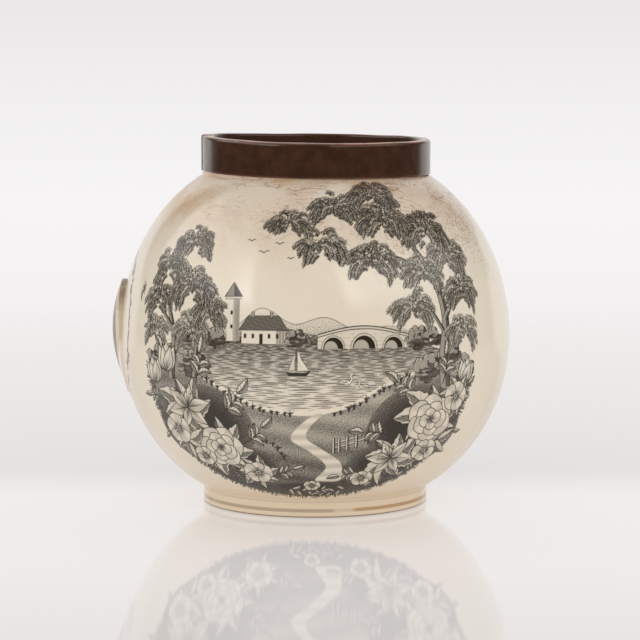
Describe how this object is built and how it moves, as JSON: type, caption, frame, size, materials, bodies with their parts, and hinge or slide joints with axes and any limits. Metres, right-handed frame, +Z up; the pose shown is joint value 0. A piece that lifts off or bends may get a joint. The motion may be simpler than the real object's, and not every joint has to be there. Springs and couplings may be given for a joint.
{
  "type": "globular jar",
  "caption": "Globular glazed jar on a low foot ring, its short neck capped by a folded sheet-copper collar, with an oval boss on one side.",
  "frame": {"origin": "on the table, under the middle of the box round the jar and its side boss, which is 2 mm from the jar's own turning axis, on the boss side", "axes": "+Z up the jar from foot to mouth, +X away from the side boss, so the printed front faces -Y"},
  "size_m": [0.1986, 0.1946, 0.1835],
  "materials": {
    "cream_glaze": "gloss",
    "brown_copper": "satin",
    "aged_plaster": "matte",
    "boss_lustre": "gloss",
    "grey_print": "gloss"
  },
  "bodies": {
    "root": {"jar_body": "cream_glaze", "rim_collar": "brown_copper", "collar_bedding": "aged_plaster", "side_boss": "boss_lustre"}
  },
  "joints": []
}
